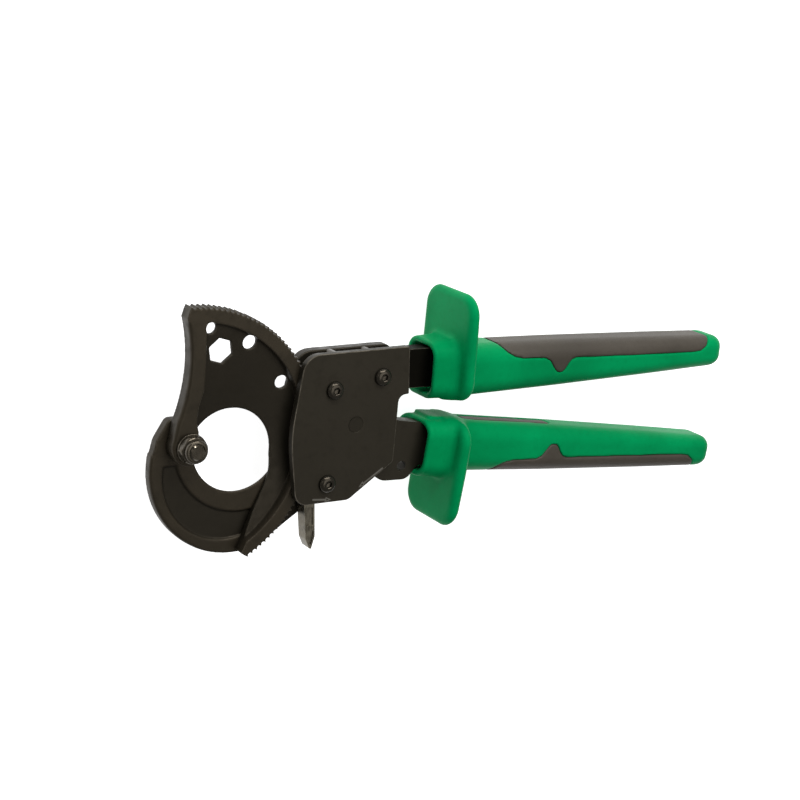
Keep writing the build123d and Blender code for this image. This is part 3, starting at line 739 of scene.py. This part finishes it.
# Node, bevel width and tone; the tang's tone of 0 adds painted shade inside the sleeve.
BROKEN_EDGES = (
    ("front_plate", 0.6, 0.6), ("handle_lever", 0.3, 0.5), ("handle_tang", 0.3, 0.0),
    ("release_lever", 0.28, 0.6), ("pivot_washer", 0.12, 0.5), ("frame_nuts", 0.2, 0.4),
)
for node, width, tone in BROKEN_EDGES:
    bevelled(node, node + "_finished", width, tone)


# ------------------------------------------------------------------ turned and printed details
STEPS = 72
SHARP_ANGLE = math.radians(32)


def turned(centre, rows):
    """A closed shell of revolution from (radius, z) rows, where a radius may be a function of the angle."""
    vertices = []
    faces = []
    for radius, z in rows:
        for k in range(STEPS):
            angle = 2 * math.pi * k / STEPS
            r = radius(angle) if callable(radius) else radius
            vertices.append((centre[0] + r * math.cos(angle), centre[1] + r * math.sin(angle), z))
    for row in range(len(rows) - 1):
        for k in range(STEPS):
            a, b = row * STEPS + k, row * STEPS + (k + 1) % STEPS
            faces.append((a, a + STEPS, b + STEPS, b))
    for start, tip_z, turn in ((0, rows[0][1], 1), ((len(rows) - 1) * STEPS, rows[-1][1], -1)):
        tip = len(vertices)
        vertices.append((centre[0], centre[1], tip_z))
        for k in range(STEPS):
            a, b = start + k, start + (k + 1) % STEPS
            faces.append((tip, a, b) if turn > 0 else (tip, b, a))
    return vertices, faces


def hexagon(across_flats, turn):
    """The radius of a hexagon at an angle, with its corners slightly rounded."""
    def radius(angle):
        a = (angle - turn) % (math.pi / 3) - math.pi / 6
        return min(across_flats / 2 / math.cos(a), across_flats * 0.568)
    return radius


def turned_piece(name, node, shells, material):
    vertices = []
    faces = []
    for points, sides in shells:
        faces += [tuple(i + len(vertices) for i in side) for side in sides]
        vertices += points
    mesh = bpy.data.meshes.new(name)
    mesh.from_pydata([tuple(home(*v)) for v in vertices], [], faces)
    mesh.validate()
    mesh.shade_smooth()
    mesh.set_sharp_from_angle(angle=SHARP_ANGLE)
    set_layer(mesh, "tone", "POINT", np.full(len(vertices), 0.5))
    set_layer(mesh, "edge", "POINT", np.zeros(len(vertices)))
    add_piece(name, mesh, node, material)


SCREWS = ((56.2, 19.2), (76.7, 23.3), (56.2, -17.3))
PLATE_TOP = 3.2
SCREW_R, SCREW_HEAD_R, SCREW_HEAD_H, SCREW_END = 2.0, 3.5, 2.0, -13.9
KEY_AF, KEY_FLOOR, KEY_TURN = 2.5, 3.9, math.radians(15)
NUT_LOW, NUT_HEX_H, NUT_H = 1.2, 3.0, 4.8
NUT_AF, NUT_BORE_R, NUT_COLLAR_R = 10.0, 3.0, 4.4


def button_screws():
    """Button screws: a hexagonal socket, a domed head and a plain shank."""
    key = hexagon(KEY_AF, KEY_TURN)
    wide = hexagon(KEY_AF + 0.35, KEY_TURN)
    rows = [(lambda a: 0.55 * key(a), KEY_FLOOR - 0.25), (key, KEY_FLOOR), (key, PLATE_TOP + 1.85),
            (wide, PLATE_TOP + SCREW_HEAD_H)]
    for k in range(1, 9):
        lean = math.radians(90 - 10 * k)
        rows.append((1.9 + 1.6 * math.cos(lean), PLATE_TOP + 0.35 + 1.65 * math.sin(lean)))
    rows += [(SCREW_HEAD_R, PLATE_TOP + 0.3), (SCREW_HEAD_R - 0.12, PLATE_TOP), (SCREW_R, PLATE_TOP),
             (SCREW_R, SCREW_END + 0.4), (SCREW_R - 0.4, SCREW_END)]
    shells = [turned(centre, rows) for centre in SCREWS]
    turned_piece("frame_screws_finished", "frame_screws", shells, FASTENER_STEEL)


def pivot_nut():
    """A lock nut: hexagonal below, with a round collar above and an open bore."""
    hex_top, collar_top = NUT_LOW + NUT_HEX_H, NUT_LOW + NUT_H
    flats = hexagon(NUT_AF, 0.0)
    rows = [(NUT_BORE_R, NUT_LOW), (lambda a: min(flats(a), 5.3), NUT_LOW),
            (lambda a: flats(a) - 0.03, NUT_LOW + 0.35), (lambda a: min(flats(a), 5.45), hex_top - 0.9),
            (lambda a: min(flats(a), 5.1), hex_top - 0.25), (4.75, hex_top), (NUT_COLLAR_R, hex_top),
            (NUT_COLLAR_R, collar_top - 0.8)]
    for k in range(1, 7):
        lean = math.radians(15 * k)
        rows.append((3.6 + 0.8 * math.cos(lean), collar_top - 0.8 + 0.8 * math.sin(lean)))
    rows += [(NUT_BORE_R + 0.15, collar_top), (NUT_BORE_R, collar_top - 0.15)]
    points, sides = turned((0, 0), rows)
    ring = len(rows) * STEPS
    sides = [side[::-1] for side in sides if max(side) < ring]
    for k in range(STEPS):
        a, b = k, (k + 1) % STEPS
        sides.append((a, a + ring - STEPS, b + ring - STEPS, b))
    turned_piece("pivot_lock_nut_finished", "pivot_lock_nut", [(points[:ring], sides)], PIVOT_STEEL)


ARROWS = (((50.6, -23.3), (56.2, -23.7)), ((80.6, -13.1), (72.6, -18.6)))
ARROW_HALF_W = 0.36
ARROW_HEAD = ((0.0, 1.05), (2.6, 0.0), (0.0, -1.05))
ARROW_HOLLOW = ((0.45, 0.42), (1.5, 0.0), (0.45, -0.42))
ARROW_RISE, ARROW_T = 0.012, 0.03


def arrow_marks():
    """Two arrows marked on the front plate: a stem and an open head each."""
    vertices = []
    faces = []
    level = PLATE_TOP + ARROW_RISE
    for start, end in np.array(ARROWS):
        along = (end - start) / np.hypot(*(end - start))
        side = np.array((-along[1], along[0]))
        half = ARROW_HALF_W * side
        first = len(vertices)
        for point in (start + half, start - half, end - half, end + half):
            vertices.append((*point, level))
        faces.append(tuple(range(first, first + 4)))
        for ring in (ARROW_HEAD, ARROW_HOLLOW):
            vertices += [(*(end + a * along + b * side), level) for a, b in ring]
        for k in range(3):
            a, b = first + 4 + k, first + 4 + (k + 1) % 3
            faces.append((a, b, b + 3, a + 3)[::-1])
    mesh = bpy.data.meshes.new("plate_arrows")
    mesh.from_pydata([tuple(home(*v)) for v in vertices], [], faces)
    bm = bmesh.new()
    bm.from_mesh(mesh)
    solid = bmesh.ops.extrude_face_region(bm, geom=bm.faces[:])
    moved = [v for v in solid["geom"] if isinstance(v, bmesh.types.BMVert)]
    bmesh.ops.translate(bm, verts=moved, vec=(0, 0, -ARROW_T * MM))
    bmesh.ops.recalc_face_normals(bm, faces=bm.faces)
    bm.to_mesh(mesh)
    bm.free()
    add_piece("plate_arrows", mesh, "front_plate", MARK, replaces=False)


button_screws()
pivot_nut()
arrow_marks()


# ------------------------------------------------------------------ stage and light
FLOOR_HALF = 4.0
FLOOR_DROP = 0.0003
WHITE = (1, 1, 1, 1)


def area_light(name, place, aim, size, power):
    lamp = bpy.data.lights.new(name, "AREA")
    lamp.shape = "RECTANGLE"
    lamp.size, lamp.size_y = size
    lamp.energy = power
    obj = bpy.data.objects.new(name, lamp)
    obj.location = place
    obj.rotation_euler = (Vector(aim) - Vector(place)).to_track_quat("-Z", "Y").to_euler()
    bpy.context.scene.collection.objects.link(obj)


def stage():
    mesh = bpy.data.meshes.new("floor")
    corners = ((-1, -1), (1, -1), (1, 1), (-1, 1))
    mesh.from_pydata([(FLOOR_HALF * a, FLOOR_HALF * b, 0) for a, b in corners], [], [(0, 1, 2, 3)])
    floor = bpy.data.objects.new("floor", mesh)
    floor.location.z = -FLOOR_DROP
    bpy.context.scene.collection.objects.link(floor)
    n = Nodes("floor_paper")
    n.set(Base_Color=(0.6, 0.6, 0.6, 1), Roughness=0.95, Specular_IOR_Level=0.0)
    n.set(Emission_Color=WHITE, Emission_Strength=0.92)
    mesh.materials.append(n.material)
    world = bpy.data.worlds.new("studio")
    world.use_nodes = True
    sky = world.node_tree.nodes["Background"]
    sky.inputs["Color"].default_value = WHITE
    sky.inputs["Strength"].default_value = 0.30
    bpy.context.scene.world = world
    area_light("key", (0.15, 0.85, 0.75), (0, 0, 0), (0.8, 0.5), 10.5)
    area_light("top", (0.2, 0.1, 1.3), (0, 0, 0), (1.0, 1.0), 6.0)
    area_light("left_fill", (-0.9, 0.3, 0.6), (0, 0, 0), (0.4, 0.6), 0.6)
    area_light("glint", (-0.35, 0.95, 0.55), (-0.05, 0, 0), (0.16, 0.10), 3.2)


stage()
bpy.context.scene.view_settings.view_transform = "Standard"
